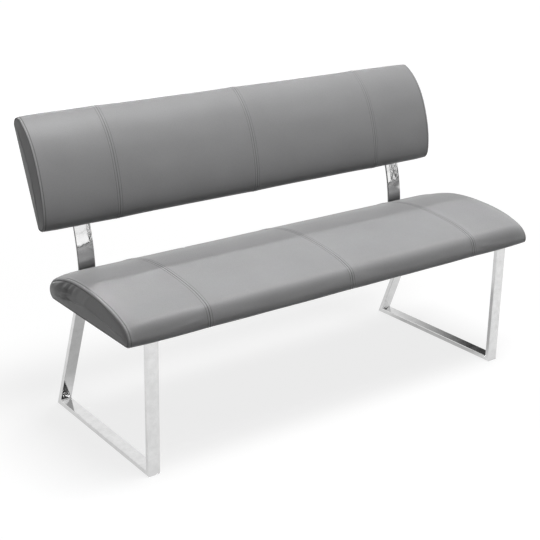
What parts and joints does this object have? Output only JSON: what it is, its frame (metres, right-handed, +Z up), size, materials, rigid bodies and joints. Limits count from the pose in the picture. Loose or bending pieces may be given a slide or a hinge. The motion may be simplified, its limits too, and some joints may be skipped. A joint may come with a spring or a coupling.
{
  "type": "upholstered bench",
  "caption": "Long padded dining bench with a reclined padded backrest, imitation leather covers and two chrome sled loops.",
  "frame": {"origin": "floor level under the middle of the bench's bounding box", "axes": "+X along the bench to the right of someone looking at its front, -Y the way a sitter faces, +Z up"},
  "size_m": [1.5, 0.6554, 0.9241],
  "materials": {
    "leg_tube": "polished chrome plate on welded rectangular steel tube",
    "support_bar": "polished chrome plate on bent flat steel",
    "glide": "black moulded plastic",
    "plywood": "raw birch plywood, hidden inside the cushions",
    "foam": "cut polyurethane foam, hidden under the covers",
    "cover": "mid grey imitation leather with fine grain and grey topstitching",
    "dust_cover": "black non-woven dust cover",
    "fastener": "zinc plated steel"
  },
  "bodies": {
    "root": {"left_front_leg": "leg_tube", "left_floor_rail": "leg_tube", "left_rear_leg": "leg_tube", "left_top_rail": "leg_tube", "right_front_leg": "leg_tube", "right_floor_rail": "leg_tube", "right_rear_leg": "leg_tube", "right_top_rail": "leg_tube", "floor_glides": "glide", "left_back_support": "support_bar", "right_back_support": "support_bar", "seat_board": "plywood", "seat_foam": "foam", "seat_cover_outer_left": "cover", "seat_cover_inner_left": "cover", "seat_cover_inner_right": "cover", "seat_cover_outer_right": "cover", "seat_end_left": "cover", "seat_end_right": "cover", "seat_dust_cover": "dust_cover", "seat_t_nuts": "fastener", "back_board": "plywood", "back_foam": "foam", "back_cover_outer_left": "cover", "back_cover_inner_left": "cover", "back_cover_inner_right": "cover", "back_cover_outer_right": "cover", "back_end_left": "cover", "back_end_right": "cover", "back_rear_cover": "cover", "back_t_nuts": "fastener", "loop_bolts": "fastener", "support_bolts": "fastener", "backrest_bolts": "fastener", "washers": "fastener"}
  },
  "joints": []
}
